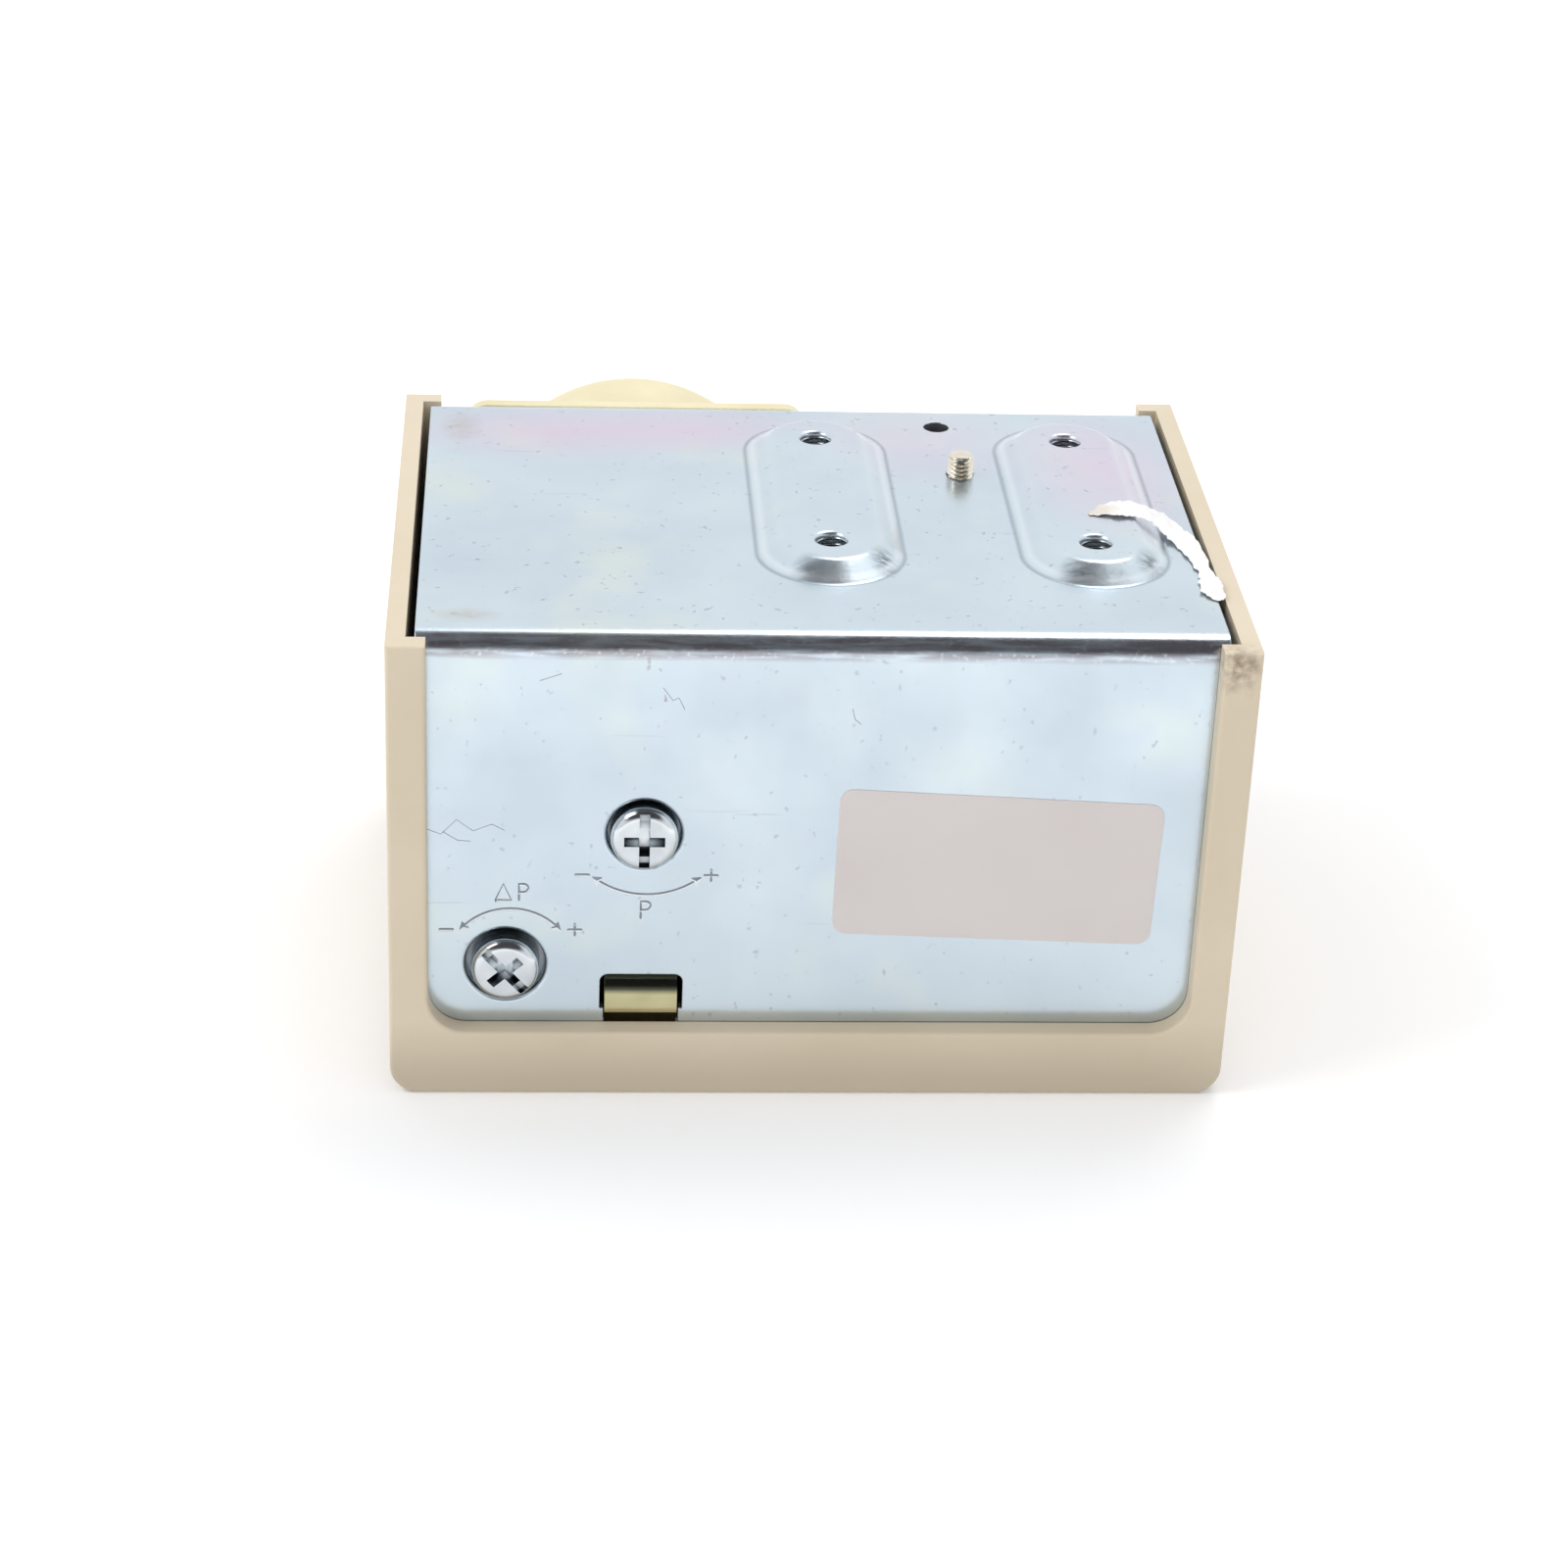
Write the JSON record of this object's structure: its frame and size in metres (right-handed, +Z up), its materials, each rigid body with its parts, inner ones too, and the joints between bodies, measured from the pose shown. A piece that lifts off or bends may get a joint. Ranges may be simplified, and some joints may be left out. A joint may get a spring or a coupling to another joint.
{
  "type": "bellows pressure switch with adjustable differential",
  "caption": "Box-shaped pressure switch: folded steel case in a moulded cover, bellows cup at the rear and two adjusting screws at the front.",
  "frame": {"origin": "middle of the cover's front face, on which the switch lies", "axes": "+Z up toward the back plate with the mounting pads, +Y toward the bellows, +X across the width to the right as seen from the adjusting screws"},
  "size_m": [0.088, 0.1048, 0.0547],
  "materials": {
    "zinc_sheet": "smooth zinc-plated steel sheet, pale blue passivation",
    "yellow_zinc_sheet": "yellow-passivated zinc-plated steel",
    "zinc_fastener": "bright zinc-plated steel",
    "plain_steel": "bare or lightly plated pressed steel",
    "spring_steel": "drawn spring wire",
    "brass": "turned brass",
    "bellows_bronze": "formed bronze sheet",
    "cover_plastic": "warm beige moulded plastic with a fine satin grain",
    "black_phenolic": "black moulded phenolic",
    "white_plastic": "natural moulded plastic",
    "clear_pane": "clear moulded pane",
    "black_rubber": "soft black rubber"
  },
  "bodies": {
    "switch_body": {"case": "zinc_sheet", "front_cover": "cover_plastic", "scale_window": "clear_pane", "scale_plate": "yellow_zinc_sheet", "cover_screw": "zinc_fastener", "lever_pin": "plain_steel", "lever_bracket": "plain_steel", "bracket_rivets": "zinc_fastener", "bellows_flange_plate": "yellow_zinc_sheet", "flange_rivets": "zinc_fastener", "bellows_cup": "yellow_zinc_sheet", "bellows": "bellows_bronze", "flare_connector": "brass", "switch_housing": "black_phenolic", "housing_screw": "zinc_fastener", "terminal_common": "brass", "terminal_open_contact": "brass", "terminal_closed_contact": "brass", "terminal_screws": "zinc_fastener", "terminal_washers": "zinc_fastener", "cable_grommet": "black_rubber"},
    "pressure_screw": {"pressure_adjusting_screw": "zinc_fastener"},
    "range_carrier": {"range_nut": "brass", "range_spring": "spring_steel"},
    "diff_screw": {"diff_adjusting_screw": "zinc_fastener"},
    "diff_carrier": {"diff_nut": "brass", "diff_spring": "spring_steel"},
    "rod": {"push_rod": "plain_steel", "bellows_end_cap": "brass"},
    "lever": {"main_lever": "plain_steel", "range_spring_seat": "plain_steel", "diff_spring_seat": "plain_steel"},
    "plunger": {"switch_plunger": "white_plastic"},
    "blade": {"contact_blade": "bellows_bronze"}
  },
  "joints": [
    {"name": "pressure_screw_turn", "type": "hinge", "parent": "switch_body", "child": "pressure_screw", "pos_m": [-0.0178, -0.03, 0.0298], "axis": [0, 1, 0], "range_deg": [-1800, 1800]},
    {"name": "range_nut_slide", "type": "slide", "parent": "switch_body", "child": "range_carrier", "axis": [0, 1, 0], "range_m": [-0.004, 0.004], "deforming": ["range_spring"]},
    {"name": "diff_screw_turn", "type": "hinge", "parent": "switch_body", "child": "diff_screw", "pos_m": [-0.032, -0.03, 0.0143], "axis": [0, 1, 0], "range_deg": [-1800, 1800]},
    {"name": "diff_nut_slide", "type": "slide", "parent": "switch_body", "child": "diff_carrier", "axis": [0, 1, 0], "range_m": [-0.0035, 0.0035], "deforming": ["diff_spring"]},
    {"name": "push_rod_slide", "type": "slide", "parent": "switch_body", "child": "rod", "axis": [0, -1, 0], "range_m": [0, 0.0015], "stiffness_N_per_m": 2000, "springref_m": -0.001, "deforming": ["bellows"]},
    {"name": "lever_rock", "type": "hinge", "parent": "switch_body", "child": "lever", "pos_m": [0.006, 0.018, 0.0298], "axis": [0, 0, 1], "range_deg": [0, 3.65]},
    {"name": "plunger_slide", "type": "slide", "parent": "switch_body", "child": "plunger", "axis": [0, 1, 0], "range_m": [0, 0.00083]},
    {"name": "blade_rock", "type": "hinge", "parent": "switch_body", "child": "blade", "pos_m": [0.035, 0.00193, 0.0298], "axis": [0, 0, 1], "range_deg": [-2.95, 0]}
  ],
  "couplings": [
    {"joint": "pressure_screw_turn", "follows": "range_nut_slide", "rad_per_m": -7853.9},
    {"joint": "diff_screw_turn", "follows": "diff_nut_slide", "rad_per_m": -8975.9},
    {"joint": "lever_rock", "follows": "push_rod_slide", "rad_per_m": 42.017},
    {"joint": "plunger_slide", "follows": "push_rod_slide", "ratio": 0.54622},
    {"joint": "blade_rock", "follows": "push_rod_slide", "rad_per_m": -34.139}
  ]
}
